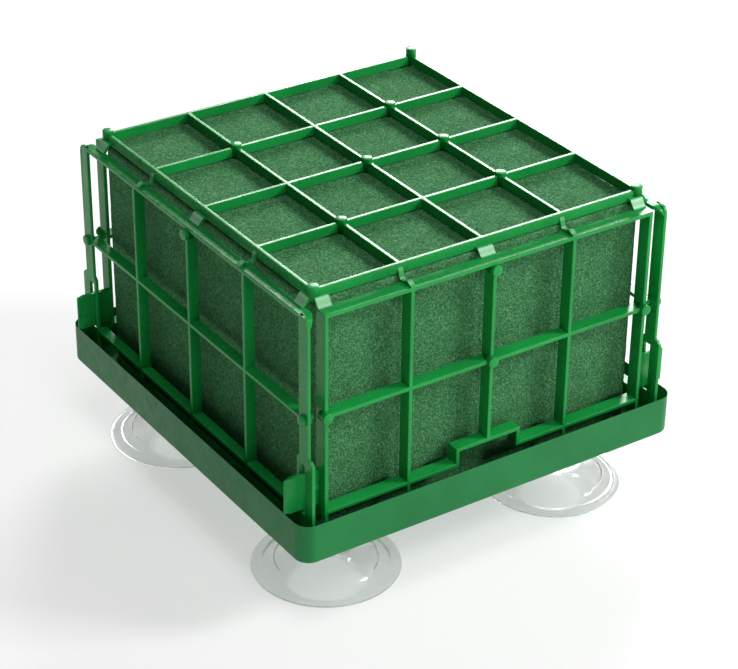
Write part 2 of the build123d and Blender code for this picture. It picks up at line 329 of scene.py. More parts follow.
# %% Helpers for materials
def linear(hex_colour):
    """Linear RGBA of an sRGB hex colour."""
    shares = [int(hex_colour[i:i + 2], 16) / 255 for i in (1, 3, 5)]
    return [s / 12.92 if s <= 0.04045 else ((s + 0.055) / 1.055) ** 2.4 for s in shares] + [1.0]


def add_node(material, kind, settings=None, links=None):
    """Add a node, set its properties and sockets, and link sockets to other nodes' outputs."""
    node = material.node_tree.nodes.new(kind)
    for name, value in (settings or {}).items():
        if isinstance(name, int) or name in node.inputs:
            node.inputs[name].default_value = value
        else:
            setattr(node, name, value)
    for name, source in (links or {}).items():
        material.node_tree.links.new(source, node.inputs[name])
    return node


def new_material(name):
    """An empty node material, and its output node."""
    material = bpy.data.materials.new(name)
    material.use_nodes = True
    material.node_tree.nodes.clear()
    return material, add_node(material, "ShaderNodeOutputMaterial")


def cell_scale(size):
    """Texture scale at which one cell of a noise is this size, in metres."""
    return 1.0 / size


def ramp(material, source, stops):
    """Colours along a 0 to 1 source. stops: (position, hex colour) pairs from low to high."""
    node = add_node(material, "ShaderNodeValToRGB", links={"Fac": source})
    elements = node.color_ramp.elements
    for position, colour in stops[1:-1]:
        elements.new(position).color = linear(colour)
    for element, (position, colour) in ((elements[0], stops[0]), (elements[-1], stops[-1])):
        element.position = position
        element.color = linear(colour)
    return node.outputs["Color"]


print("linear leaf green", [round(value, 3) for value in linear("#2f9a4d")])

# %% [markdown]
# ## Cage plastic
#
# The cage is injection-moulded polypropylene, coloured right through. It comes out of a
# polished mould, so it is semi-glossy and almost smooth, with slow waves where it shrank, small
# changes of shade where the melt flowed, and a few places rubbed dull. The tray's mould is less
# polished, so the tray is duller and darker. Polypropylene's refractive index is 1.49. Its
# highlights are kept weak, because a matt film of foam dust lies on it.

# %% Moulded polypropylene for the cage and the tray
FLOW_MARK = 20 * MM
RUBBED_PLACE = 3 * MM
SHRINK_WAVE = 5 * MM


def moulded_polypropylene(name, shades, roughness, wave_height):
    """Moulded plastic. shades: darker and lighter colour. roughness: polished and rubbed value."""
    material, output = new_material(name)
    place = add_node(material, "ShaderNodeTexCoord").outputs["Object"]
    flow = add_node(material, "ShaderNodeTexNoise",
                    {"Scale": cell_scale(FLOW_MARK), "Detail": 3.0}, {"Vector": place})
    shade = ramp(material, flow.outputs["Fac"], ((0.35, shades[0]), (0.65, shades[1])))
    rub = add_node(material, "ShaderNodeTexNoise",
                   {"Scale": cell_scale(RUBBED_PLACE), "Detail": 6.0}, {"Vector": place})
    dullness = add_node(material, "ShaderNodeMapRange",
                        {"From Min": 0.4, "From Max": 0.7, "To Min": roughness[0],
                         "To Max": roughness[1]},
                        {"Value": rub.outputs["Fac"]})
    wave = add_node(material, "ShaderNodeTexNoise",
                    {"Scale": cell_scale(SHRINK_WAVE), "Detail": 2.0}, {"Vector": place})
    bump = add_node(material, "ShaderNodeBump", {"Strength": 1.0, "Distance": wave_height},
                    {"Height": wave.outputs["Fac"]})
    plastic = add_node(material, "ShaderNodeBsdfPrincipled",
                       {"IOR": 1.49, "Specular IOR Level": 0.22},
                       {"Base Color": shade,
                        "Roughness": dullness.outputs["Result"],
                        "Normal": bump.outputs["Normal"]})
    material.node_tree.links.new(plastic.outputs["BSDF"], output.inputs["Surface"])
    return material


cage_plastic = moulded_polypropylene(
    "polypropylene_glossy_moulded", ("#138238", "#199241"), (0.26, 0.38), 0.05 * MM)
tray_plastic = moulded_polypropylene(
    "polypropylene_satin_moulded", ("#126d36", "#17763c"), (0.36, 0.5), 0.06 * MM)
print("cage and tray plastics")

# %% [markdown]
# ## Pale plastic for the straps, partly a painted highlight
#
# Polypropylene that has been bent turns pale, because tiny voids open in it. The straps' green is a little lighter
# than the cage's. Faces that slope at about 45 degrees get a paler green still. That is a painted highlight where
# the straps' bends catch the lamps, and partly it stands for that whitening. How pale each face is is kept on the
# mesh as an attribute, so that the pale marks stay with the strap when a panel opens. The material mixes a paler
# green in by that attribute.

# %% Strap polypropylene with a painted highlight
strap_plastic = moulded_polypropylene(
    "polypropylene_strained_pale", ("#1b8a40", "#259a4c"), (0.28, 0.4), 0.05 * MM)
strap_nodes = strap_plastic.node_tree
strap_shader = next(node for node in strap_nodes.nodes if node.type == "BSDF_PRINCIPLED")
strap_green = strap_shader.inputs["Base Color"].links[0].from_socket
# Share of paler green on each face: a painted highlight on sloped strap faces, partly the whitening of bent plastic.
strain = add_node(strap_plastic, "ShaderNodeAttribute", {"attribute_name": "strain"})
strap_shade = add_node(strap_plastic, "ShaderNodeMix",
                       {"data_type": "RGBA", 7: linear("#bfe3c8")},
                       {0: strain.outputs["Fac"], 6: strap_green})
strap_nodes.links.new(strap_shade.outputs[2], strap_shader.inputs["Base Color"])
print("strained plastic for the straps")

# %% [markdown]
# ## Floral foam
#
# Floral foam is a phenolic resin blown full of tiny cells and cut with a wire. Its face is
# dull, with no shine, and it sparkles with cell walls that were cut open: light where a wall
# catches the light, dark where a cell is open. The real cells are about 0.3 mm across, too fine
# to show at this distance, so they are drawn 0.6 mm across. Blotches of 6 mm, multiplied in
# faintly, give the uneven shade of crushed skin.

# %% Phenolic foam
FOAM_CELL = 0.6 * MM
FOAM_BLOTCH = 6 * MM

foam_material, foam_output = new_material("phenolic_foam_wire_cut")
place = add_node(foam_material, "ShaderNodeTexCoord").outputs["Object"]
grain = add_node(foam_material, "ShaderNodeTexNoise",
                 {"Scale": cell_scale(FOAM_CELL), "Detail": 4.0, "Roughness": 0.75},
                 {"Vector": place})
grain_shade = ramp(foam_material, grain.outputs["Fac"],
                   ((0.33, "#1f4f2b"), (0.5, "#3b7447"), (0.69, "#6aa477")))
blotch = add_node(foam_material, "ShaderNodeTexNoise",
                  {"Scale": cell_scale(FOAM_BLOTCH), "Detail": 3.0}, {"Vector": place})
blotch_depth = add_node(foam_material, "ShaderNodeMapRange",
                        {"From Min": 0.35, "From Max": 0.7, "To Min": 0.0, "To Max": 0.22},
                        {"Value": blotch.outputs["Fac"]})
foam_shade = add_node(foam_material, "ShaderNodeMix",
                      {"data_type": "RGBA", "blend_type": "MULTIPLY", 7: linear("#7d9a86")},
                      {0: blotch_depth.outputs["Result"], 6: grain_shade})
cells = add_node(foam_material, "ShaderNodeTexVoronoi",
                 {"Scale": cell_scale(FOAM_CELL), "Randomness": 1.0}, {"Vector": place})
cell_bump = add_node(foam_material, "ShaderNodeBump", {"Strength": 0.5, "Distance": 0.25 * MM},
                     {"Height": cells.outputs["Distance"]})
grain_bump = add_node(foam_material, "ShaderNodeBump", {"Strength": 0.6, "Distance": 0.3 * MM},
                      {"Height": grain.outputs["Fac"], "Normal": cell_bump.outputs["Normal"]})
foam_shader = add_node(foam_material, "ShaderNodeBsdfPrincipled",
                       {"Roughness": 0.95, "IOR": 1.3, "Specular IOR Level": 0.25},
                       {"Base Color": foam_shade.outputs[2],
                        "Normal": grain_bump.outputs["Normal"]})
foam_material.node_tree.links.new(foam_shader.outputs["BSDF"], foam_output.inputs["Surface"])
print("foam cells drawn", round(FOAM_CELL / MM, 2), "mm across")

# %% [markdown]
# ## Clear vinyl
#
# The suction cups are soft plasticised vinyl, moulded clear. Vinyl bends light a little more
# than window glass does. Handling leaves it faintly hazy in patches about 8 mm wide. So thin a
# skirt barely tints what is behind it, so the shader lets part of the light straight through.

# %% Clear soft vinyl
HAZE_PATCH = 8 * MM
VINYL_IOR = 1.53

vinyl, vinyl_output = new_material("soft_vinyl_clear_moulded")
place = add_node(vinyl, "ShaderNodeTexCoord").outputs["Object"]
haze = add_node(vinyl, "ShaderNodeTexNoise",
                {"Scale": cell_scale(HAZE_PATCH), "Detail": 5.0}, {"Vector": place})
haze_roughness = add_node(vinyl, "ShaderNodeMapRange", {"To Min": 0.03, "To Max": 0.16},
                          {"Value": haze.outputs["Fac"]})
ripple = add_node(vinyl, "ShaderNodeBump", {"Strength": 0.6, "Distance": 0.08 * MM},
                  {"Height": haze.outputs["Fac"]})
vinyl_shader = add_node(vinyl, "ShaderNodeBsdfPrincipled",
                        {"Base Color": linear("#fafdfb"), "IOR": VINYL_IOR,
                         "Transmission Weight": 1.0, "Alpha": 0.65},
                        {"Roughness": haze_roughness.outputs["Result"],
                         "Normal": ripple.outputs["Normal"]})
vinyl.node_tree.links.new(vinyl_shader.outputs["BSDF"], vinyl_output.inputs["Surface"])
print("clear vinyl, refractive index", VINYL_IOR)

# %% [markdown]
# ## Modelling helpers
#
# Every piece is shaped with the same operators as by hand. An operator works on the selection,
# and code has no mouse, so these helpers select by place: the test gets the middle of each
# vertex, edge or face.

# %% Select, edit and apply
SHARP_ANGLE = math.radians(40)  # an edge that turns more than this is rounded


def make_active(piece):
    """Leave edit mode, select only this piece and make it the active one."""
    if bpy.context.mode != "OBJECT":
        bpy.ops.object.mode_set(mode="OBJECT")
    bpy.ops.object.select_all(action="DESELECT")
    piece.select_set(True)
    bpy.context.view_layer.objects.active = piece


def pick(piece, kind, test):
    """Go into edit mode with only these elements selected, and say how many there are."""
    make_active(piece)
    bpy.ops.object.mode_set(mode="EDIT")
    bpy.ops.mesh.select_mode(type=kind)
    bpy.ops.mesh.select_all(action="DESELECT")
    mesh = bmesh.from_edit_mesh(piece.data)
    elements = {"VERT": mesh.verts, "EDGE": mesh.edges, "FACE": mesh.faces}[kind]
    found = 0
    for element in elements:
        corners = [element.co] if kind == "VERT" else [vertex.co for vertex in element.verts]
        if test(sum(corners, Vector()) / len(corners)):
            element.select_set(True)
            found += 1
    mesh.select_flush_mode()
    bmesh.update_edit_mesh(piece.data)
    return found


def leave_edit(piece):
    """Merge what lies together, point all faces outwards and leave edit mode."""
    pick(piece, "VERT", lambda middle: True)
    bpy.ops.mesh.remove_doubles(threshold=TOUCHING)
    bpy.ops.mesh.normals_make_consistent(inside=False)
    bpy.ops.object.mode_set(mode="OBJECT")


def apply_modifier(piece, kind, **settings):
    """Add a modifier with these settings and apply it."""
    make_active(piece)
    modifier = piece.modifiers.new(kind, kind)
    for name, value in settings.items():
        setattr(modifier, name, value)
    bpy.ops.object.modifier_apply(modifier=modifier.name)


def smooth(piece):
    """Shade the piece smooth, with its flat faces flat to the eye."""
    make_active(piece)
    bpy.ops.object.shade_smooth()
    apply_modifier(piece, "WEIGHTED_NORMAL", keep_sharp=True)


def soften(piece, width):
    """Round the piece's sharp edges as a mould does."""
    apply_modifier(piece, "BEVEL", width=width, segments=2, limit_method="ANGLE",
                   angle_limit=SHARP_ANGLE, use_clamp_overlap=True)
    smooth(piece)


def join(pieces, name):
    """Join pieces into the first one, under this name."""
    make_active(pieces[0])
    for piece in pieces:
        piece.select_set(True)
    bpy.ops.object.join()
    pieces[0].name = name
    pieces[0].data.name = name
    return pieces[0]


def copy_of(piece, name):
    """A copy with its own mesh."""
    make_active(piece)
    bpy.ops.object.duplicate()
    twin = bpy.context.view_layer.objects.active
    twin.name = name
    twin.data.name = name
    return twin


def settle(piece):
    """Put the piece's place, turn and size into its mesh."""
    make_active(piece)
    bpy.ops.object.transform_apply(location=True, rotation=True, scale=True)


def new_sheet(name, low_u, high_u, low_v, high_v):
    """A flat rectangle on the plane z = 0."""
    bpy.ops.object.select_all(action="DESELECT")
    bpy.ops.mesh.primitive_plane_add(
        size=1, location=((low_u + high_u) / 2, (low_v + high_v) / 2, 0))
    sheet = bpy.context.object
    sheet.name = name
    sheet.scale = (high_u - low_u, high_v - low_v, 1)
    settle(sheet)
    return sheet


print("helpers ready")

# %% [markdown]
# ## Lattices from a cut sheet
#
# Grid and panels are all flat frames of ribs with openings. The quick way by hand is to lay down
# one sheet, cut it along both sides of every rib, delete the faces of the openings, and pull
# the rest up to the depth of the ribs. All walls then share their corners, with no overlaps.
# Panels are made lying down, u along the panel, v up it and depth as height, and hung upright
# afterwards.

# %% Cut a lattice
def edges_of(middles, width=RIB):
    """Both sides of each rib."""
    return [middle + side * width / 2 for middle in middles for side in (-1, 1)]


def cut_lattice(name, across, up, solid, depth):
    """Cut a sheet along these lines, keep the faces that are solid, and give it depth."""
    across, up = sorted(across), sorted(up)
    lattice = new_sheet(name, across[0], across[-1], up[0], up[-1])
    make_active(lattice)
    bpy.ops.object.mode_set(mode="EDIT")
    for line in across[1:-1]:
        bpy.ops.mesh.select_all(action="SELECT")
        bpy.ops.mesh.bisect(plane_co=(line, 0, 0), plane_no=(1, 0, 0), threshold=TOUCHING)
    for line in up[1:-1]:
        bpy.ops.mesh.select_all(action="SELECT")
        bpy.ops.mesh.bisect(plane_co=(0, line, 0), plane_no=(0, 1, 0), threshold=TOUCHING)
    if pick(lattice, "FACE", lambda middle: not solid(middle.x, middle.y)):
        bpy.ops.mesh.delete(type="FACE")
    if depth:
        pick(lattice, "FACE", lambda middle: True)
        bpy.ops.mesh.extrude_region_move(TRANSFORM_OT_translate={"value": (0, 0, depth)})
    leave_edit(lattice)
    return lattice


def near_any(value, middles, reach=RIB / 2):
    """True if the value is inside one of these ribs."""
    return any(abs(value - middle) < reach for middle in middles)


def spread(half, bays):
    """Even places from -half to +half."""
    return [half * (2 * i / bays - 1) for i in range(bays + 1)]


print("ribs are", round(RIB / MM, 2), "mm thick")

# %% [markdown]
# The round pins are cylinders. An ejector pin leaves a pin's end a little domed, so the end is
# inset three times, and each ring is lifted less than the one outside it.

# %% Make a round pin
DOME_SHARE = 0.08  # height of the dome, as a share of the pin's radius
DOME_RINGS = (0.5, 0.3, 0.2)  # share of the dome's height and width in each ring
DOME_REACH = 0.6  # how far the rings reach in, as a share of the flat end


def knob(u, v, base, stand, radius=PIN_RADIUS, edge=0.18 * MM):
    """A short round pin with a softened, slightly domed end, standing on the height base."""
    dome = radius * DOME_SHARE
    bpy.ops.object.select_all(action="DESELECT")
    bpy.ops.mesh.primitive_cylinder_add(
        vertices=32, radius=radius, depth=stand - dome, location=(u, v, base + (stand - dome) / 2))
    pin = bpy.context.object
    settle(pin)
    top = base + stand - dome
    pick(pin, "FACE", lambda middle: middle.z > top - TOUCHING)
    bpy.ops.mesh.bevel(offset=edge, segments=3, affect="EDGES")
    for share in DOME_RINGS:
        pick(pin, "FACE", lambda middle: middle.z > top - TOUCHING)
        bpy.ops.mesh.inset(thickness=(radius - edge) * share * DOME_REACH)
        bpy.ops.transform.translate(value=(0, 0, dome * share))
        top += dome * share
    leave_edit(pin)
    smooth(pin)
    return pin


print("pins are", round(2 * PIN_RADIUS / MM, 2), "mm across")

# %% [markdown]
# ## The top grid
#
# Five ribs each way. Short round pins stand where the mould's ejector pins pushed: one at each
# corner and six on inner crossings. The pin at the back right corner stands the tallest.

# %% Model the top grid
EDGE_SOFTNESS = 0.2 * MM
PIN_STAND = 1.2 * MM

rib_x = spread(grid_half_x - RIB / 2, 4)
rib_y = spread(grid_half_y - RIB / 2, 4)
grid_lattice = cut_lattice(
    "top_grid_ribs", edges_of(rib_x), edges_of(rib_y),
    lambda u, v: near_any(u, rib_x) or near_any(v, rib_y), GRID_DEPTH)
grid_lattice.location.z = grid_bottom
settle(grid_lattice)
soften(grid_lattice, EDGE_SOFTNESS)

pinned_crossings = ((0, 0), (0, 4), (4, 0), (4, 4), (1, 1), (3, 1), (2, 2), (3, 2), (1, 3), (3, 3))
grid_pins = []
for i, j in pinned_crossings:
    tallest = (i, j) == (4, 4)
    pin_height = grid_high.z - grid_bottom if tallest else GRID_DEPTH + PIN_STAND
    grid_pins.append(knob(rib_x[i], rib_y[j], grid_bottom, pin_height))
cage_grid = join([grid_lattice, *grid_pins], "cage_top_grid")
print("top grid", len(cage_grid.data.polygons), "faces")

# %% [markdown]
# ## The front and back panels
#
# Three rails and five bars. The bottom rail steps up in the middle over a notch that clears the
# tray's rim, and each bar but the middle one ends in a small slanted point that guides it into
# the tray. Flat tabs at the ends pass through the side panels' feet and lock the cage.

# %% Model the front panel lying down
NOTCH_HALF = 10.0 * MM
NOTCH_RISE = 5.0 * MM
TIP_DROP = 2.2 * MM
PANEL_INSET = 0.45 * MM  # from the grid's outer edge to the panel's end bar
KNOB_DROP = 2.6 * MM  # from the top rail to the upper pin's middle

end_bars = spread(grid_half_x - PANEL_INSET, 4)
notch_top = rail_low + NOTCH_RISE
rail_bottom = rail_low - RIB


def end_solid(u, v):
    """True where the front panel has plastic."""
    beside_notch = abs(u) > NOTCH_HALF
    over_notch = v > notch_top - RIB
    bar = near_any(u, end_bars) and (beside_notch or over_notch)
    rail = near_any(v, [rail_top - RIB / 2, rail_mid - RIB / 2])
    low_rail = v < rail_low and beside_notch
    notch = abs(u) < NOTCH_HALF + RIB and v < notch_top and (beside_notch or over_notch)
    return bar or rail or low_rail or notch


def draw_points(lattice, bars, depth):
    """Pull each bar down below the bottom rail into a slanted point, its long side outermost."""
    for bar in bars:
        pick(lattice, "FACE", lambda middle: near_any(middle.x, [bar], RIB / 4)
             and abs(middle.y - rail_bottom) < TOUCHING)
        bpy.ops.mesh.extrude_region_move(TRANSFORM_OT_translate={"value": (0, -TIP_DROP, 0)})
        pick(lattice, "EDGE", lambda middle: near_any(middle.x, [bar], RIB / 4)
             and abs(middle.y - rail_bottom + TIP_DROP) < TOUCHING and middle.z < depth / 4)
        bpy.ops.transform.translate(value=(0, TIP_DROP, 0))
    leave_edit(lattice)


end_lattice = cut_lattice(
    "front_panel_ribs",
    edges_of(end_bars) + [side * reach for side in (-1, 1)
                          for reach in (NOTCH_HALF, NOTCH_HALF + RIB)],
    edges_of([rail - RIB / 2 for rail in rails]) + [notch_top, notch_top - RIB],
    end_solid, END_DEPTH)
draw_points(end_lattice, [bar for bar in end_bars if abs(bar) > NOTCH_HALF], END_DEPTH)
soften(end_lattice, EDGE_SOFTNESS)
print("front ribs", len(end_lattice.data.polygons), "faces")

# %% Add the tabs and the knobs to the front panel
TAB = 1.3 * MM
TAB_LOW = 0.9 * MM  # above the tray's rim
TAB_HEIGHT = 11.3 * MM
TAB_LEAD = 2.0 * MM  # length of the thinned end
TAB_THIN = 0.4 * MM  # taken off each side at the very end
TAB_NARROW = 0.94  # height of the very end, as a share of the tab's
TAB_EDGE = 0.18 * MM
DIMPLE_RADIUS = 1.15 * MM
DIMPLE_STAND = 0.3 * MM
DIMPLE_EDGE = 0.15 * MM
FOOT_COLUMN = 3.8 * MM  # plastic outside the slot in a side panel's foot
SLOT_PLAY = 1.2 * MM  # room in the slot on the tab's outer side

foot_edge = side_high.y
slot_outer = foot_edge - FOOT_COLUMN
tab_middle = slot_outer - SLOT_PLAY - TAB / 2
tab_low = tray_high.z + TAB_LOW
tab_end = end_high.x


def lock_tab(side):
    """The tab at one end of the front panel: a thin plate, thinner at its leading end."""
    tab = new_sheet("tab", -tab_end, -end_bars[-1], tab_low, tab_low + TAB_HEIGHT)
    make_active(tab)
    bpy.ops.object.mode_set(mode="EDIT")
    bpy.ops.mesh.select_all(action="SELECT")
    bpy.ops.mesh.bisect(plane_co=(TAB_LEAD - tab_end, 0, 0), plane_no=(1, 0, 0), threshold=TOUCHING)
    pick(tab, "FACE", lambda middle: True)
    bpy.ops.mesh.extrude_region_move(TRANSFORM_OT_translate={"value": (0, 0, TAB)})
    pick(tab, "FACE", lambda middle: abs(middle.x + tab_end) < TOUCHING)
    bpy.ops.transform.resize(value=(1, TAB_NARROW, 1 - 2 * TAB_THIN / TAB),
                             center_override=(0, tab_low + TAB_HEIGHT / 2, TAB / 2))
    leave_edit(tab)
    soften(tab, TAB_EDGE)
    dimple = knob(-(end_bars[-1] + side_inner) / 2, tab_low + TAB_HEIGHT / 2, TAB / 2,
                  TAB / 2 + DIMPLE_STAND, DIMPLE_RADIUS, DIMPLE_EDGE)
    tab = join([tab, dimple], "tab")
    tab.location.z = tab_middle - end_inner - TAB / 2
    if side > 0:
        tab.scale.x = -1
    settle(tab)
    if side > 0:
        leave_edit(tab)
    return tab


def panel_knobs(middle_rail_places, depth):
    """Round pins on the middle rail, and one below the middle of the top rail."""
    places = [(u, rail_mid - RIB / 2) for u in middle_rail_places] + [(0, rail_top - KNOB_DROP)]
    return [knob(u, v, depth / 2, depth / 2 + KNOB_STAND) for u, v in places]


end_knobs = panel_knobs(end_bars[::2], END_DEPTH)
front_panel = join([end_lattice, lock_tab(-1), lock_tab(1), *end_knobs], "cage_front_panel")
print("front panel", len(front_panel.data.polygons), "faces")

# %% Hang the front and back panels
def hang(piece, quarter_turns, outward):
    """Stand a lying piece up, turn it to its side of the cage and move it out from the middle."""
    angle = quarter_turns * math.pi / 2
    piece.rotation_euler = (math.pi / 2, 0, angle)
    piece.location = Matrix.Rotation(angle, 3, "Z") @ Vector((0, -outward, 0))
    settle(piece)
    return piece


back_panel = copy_of(front_panel, "cage_back_panel")
hang(front_panel, 0, end_inner)
hang(back_panel, 2, end_inner)
print("front and back panels hung", round(end_inner / MM, 2), "mm from the middle")

# %% [markdown]
# ## The left and right panels
#
# These have three rails and three bars, and at each end the top rail bends round into a flat
# post. The post runs down into a wider foot with an upright slot for the tab. The bend is a
# spin: the end of the rail is turned through a quarter circle. The rail is deep and the post is
# thin, so each step of the bend is then made shallower than the one before.

# %% Model the left panel lying down
POST_WIDTH = 4.4 * MM
POST_INSET = 0.1 * MM  # from the front panel's face to the post's outer edge
PLATE = 1.0 * MM  # thickness of the posts and feet
PLATE_PROUD = 0.03 * MM  # they stand this far out of the rail, so no two faces coincide
BEND_RADIUS = 3.0 * MM
BEND_STEPS = 6
FOOT_LEG = 1.2 * MM  # plastic inside the slot
FOOT_CAP = 2.5 * MM  # plastic over the slot
FOOT_CHAMFER = 1.1 * MM
TAB_CLEARANCE = 0.3 * MM  # room in the slot on the tab's inner side
SLOT_BELOW = 1.2 * MM
SLOT_ABOVE = 3.5 * MM

post_edge = end_outer - POST_INSET
post_inner = post_edge - POST_WIDTH
post_middle = post_edge - POST_WIDTH / 2
slot_inner = tab_middle - TAB / 2 - TAB_CLEARANCE
slot_low = tab_low - SLOT_BELOW
slot_high = tab_low + TAB_HEIGHT + SLOT_ABOVE
foot_inner = slot_inner - FOOT_LEG
foot_low = side_low.z
foot_high = slot_high + FOOT_CAP
bend = post_edge - BEND_RADIUS
inner_bars = spread(post_middle, 4)[1:-1]


def side_solid(u, v):
    """True where the left panel has ribs at their full depth."""
    if near_any(v, [rail_top - RIB / 2]):
        return abs(u) < bend
    if near_any(v, [rail_mid - RIB / 2]):
        return abs(u) < post_middle
    return near_any(u, inner_bars) or (v < rail_low and abs(u) < foot_inner + RIB)


SAME_ANGLE = 1e-3


def on_bend(place, side, share):
    """True on the inner side of the bend, this share of the way round it."""
    out, up = side * place.x - bend, place.y - (rail_top - BEND_RADIUS)
    angle = math.atan2(out, up) if out > TOUCHING else 0.0
    return abs(angle - share * math.pi / 2) < SAME_ANGLE and place.z < TOUCHING


side_reach = [side * reach for side in (-1, 1) for reach in (bend, post_middle, foot_inner + RIB)]
side_lattice = cut_lattice(
    "left_panel_ribs", edges_of(inner_bars) + side_reach,
    edges_of([rail - RIB / 2 for rail in rails]), side_solid, SIDE_DEPTH)
draw_points(side_lattice, inner_bars, SIDE_DEPTH)
for side in (-1, 1):
    pick(side_lattice, "FACE", lambda middle: abs(middle.x - side * bend) < TOUCHING
         and middle.y > rail_top - RIB)
    bpy.ops.mesh.spin(steps=BEND_STEPS, angle=side * math.pi / 2,
                      center=(side * bend, rail_top - BEND_RADIUS, 0), axis=(0, 0, 1))
    for step in range(1, BEND_STEPS + 1):
        share = step / BEND_STEPS
        pick(side_lattice, "VERT", lambda place: on_bend(place, side, share))
        bpy.ops.transform.translate(value=(0, 0, (SIDE_DEPTH - PLATE) * share))
leave_edit(side_lattice)
soften(side_lattice, EDGE_SOFTNESS)
print("left ribs", len(side_lattice.data.polygons), "faces")

# %% [markdown]
# Posts and feet are flat strips, so they are cut from a sheet of their own. Rounding a single
# corner of a flat sheet is a bevel of one vertex.

# %% Add the posts and feet
def foot_solid(u, v):
    """True where the post or the foot has plastic, on the side where u is positive."""
    in_slot = slot_inner < u < slot_outer and slot_low < v < slot_high
    in_foot = v < foot_high and foot_inner < u < foot_edge
    in_post = v > foot_high and post_inner < u < post_edge
    return (in_foot and not in_slot) or in_post


def round_corner(sheet, u, v, size, steps):
    """Round or chamfer one corner of a flat sheet."""
    pick(sheet, "VERT",
         lambda middle: abs(middle.x - u) < TOUCHING and abs(middle.y - v) < TOUCHING)
    bpy.ops.mesh.bevel(offset=size, segments=steps, affect="VERTICES")


post = cut_lattice(
    "post", [foot_inner, slot_inner, slot_outer, foot_edge, post_inner, post_edge],
    [foot_low, slot_low, slot_high, foot_high, rail_top], foot_solid, 0)
round_corner(post, post_edge, rail_top, BEND_RADIUS, BEND_STEPS)
round_corner(post, foot_inner, foot_high, FOOT_CHAMFER, 1)
round_corner(post, foot_edge, foot_high, FOOT_CHAMFER, 1)
pick(post, "FACE", lambda middle: True)
bpy.ops.mesh.extrude_region_move(TRANSFORM_OT_translate={"value": (0, 0, PLATE)})
leave_edit(post)
post.location.z = SIDE_DEPTH - PLATE + PLATE_PROUD
settle(post)
soften(post, EDGE_SOFTNESS)
other_post = copy_of(post, "other_post")
other_post.scale.x = -1
settle(other_post)
leave_edit(other_post)

side_knobs = panel_knobs((-post_middle, post_middle), SIDE_DEPTH)
left_panel = join([side_lattice, post, other_post, *side_knobs], "cage_left_panel")
right_panel = copy_of(left_panel, "cage_right_panel")
hang(left_panel, -1, side_inner)
hang(right_panel, 1, side_inner)
print("side panels", len(left_panel.data.polygons), "faces each")

# %% [markdown]
# ## Hinge straps
#
# Thin straps join the grid to the panels, moulded in one with both. The wide ones, at the
# corners and in the middle, leave the grid's rib level and come down on the panel's top rail.
# The narrow ones drop from the rib, cross the gap low down and arch over the rail. Each is a
# ribbon: one edge, pushed along a curve, then thickened. They cross a joint, so they bend
# between two bodies when a panel opens.

# %% Model the straps
STRAP = 0.85 * MM
CORNER_STRAP = 4.2 * MM
CENTRE_STRAP = 5.0 * MM
QUARTER_STRAP = 1.5 * MM
RIBBON_STEPS = 14
STRAP_ROOT = 0.4 * MM  # how far a strap starts inside the grid's rib
STRAP_EDGE = 0.15 * MM
CORNER_LAP = 1.3 * MM  # how far a wide strap reaches over the rail
CENTRE_LAP = 1.1 * MM
CORNER_LIFT = 0.3 * MM  # a corner strap leaves the rib this much higher than the middle one
LEVEL_RUN = 0.9 * MM  # a wide strap's level stretch before it comes down
WIDE_REST = 0.25 * MM  # upper side of a wide strap's end, above the rail
NARROW_REST = 0.35 * MM  # the same for a narrow strap in the gap
NARROW_SHORT = 1.6 * MM  # its fall is this much less than from the grid's top to the rail
NARROW_FALL = 0.55  # it is down after this share of the gap
ARCH_RISE = 1.0 * MM
ARCH_SHARE = 0.3  # half width of the arch, as a share of the rail's depth
MOST_PAINTED_HIGHLIGHT = 0.55  # share of pale colour on the face that slopes most: a painted highlight, partly strain whitening
NO_HIGHLIGHT_FLATNESS = 0.95  # flatness with no pale colour: 0 slopes at 45 degrees, 1 is level or upright


def ribbon(width, middle, curve):
    """A strip of this width along (outward, up) points, its upper side on them."""
    strip = new_sheet("strap", middle - width / 2, middle + width / 2, -1.0, 0.0)
    pick(strip, "VERT", lambda place: place.y < -0.5)
    bpy.ops.mesh.delete(type="VERT")
    pick(strip, "EDGE", lambda place: True)
    bpy.ops.transform.translate(value=(0, curve[0][1], curve[0][0]))
    for (out, up), (next_out, next_up) in zip(curve, curve[1:]):
        bpy.ops.mesh.extrude_region_move(
            TRANSFORM_OT_translate={"value": (0, next_up - up, next_out - out)})
    leave_edit(strip)
    return strip


def ease(share):
    """0 to 1 with a soft start and a soft stop."""
    share = min(max(share, 0.0), 1.0)
    return share * share * (3 - 2 * share)


def strap_curve(gap, depth, kind):
    """(outward, up) points of a strap. gap: grid to rail. depth: of the panel's ribs."""
    reach = gap + {"corner_hinges": CORNER_LAP, "centre_hinge": CENTRE_LAP,
                   "quarter_hinges": depth}[kind]
    points = []
    for step in range(RIBBON_STEPS + 1):
        out = reach * step / RIBBON_STEPS
        if kind == "quarter_hinges":
            fall = (GRID_DEPTH + RAIL_DROP - NARROW_SHORT) * (1 - ease(out / (NARROW_FALL * gap)))
            from_arch = (out - gap - depth / 2) / (ARCH_SHARE * depth)
            up = rail_top + NARROW_REST + fall + ARCH_RISE * math.exp(-from_arch ** 2)
        else:
            level = strap_top if kind == "centre_hinge" else strap_top + CORNER_LIFT
            drop = level - rail_top - WIDE_REST
            up = level - drop * ease((out - LEVEL_RUN) / (reach - LEVEL_RUN))
        points.append((out, up))
    return [(-STRAP_ROOT, points[0][1]), *points]


def mark_painted_highlight(strap):
    """Keep how pale each face of a lying strap is, a painted highlight and partly strain whitening: most where it
    slopes at 45 degrees.
    """
    # The pale share is a painted highlight by face slope, partly standing for the whitening of bent plastic.
    highlight_marks = strap.data.attributes.new("strain", "FLOAT", "FACE")
    for face in strap.data.polygons:
        flatness = abs(2 * face.normal.z ** 2 - 1)
        highlight_marks.data[face.index].value = MOST_PAINTED_HIGHLIGHT * max(0.0, 1 - flatness / NO_HIGHLIGHT_FLATNESS)


strap_pieces = {}
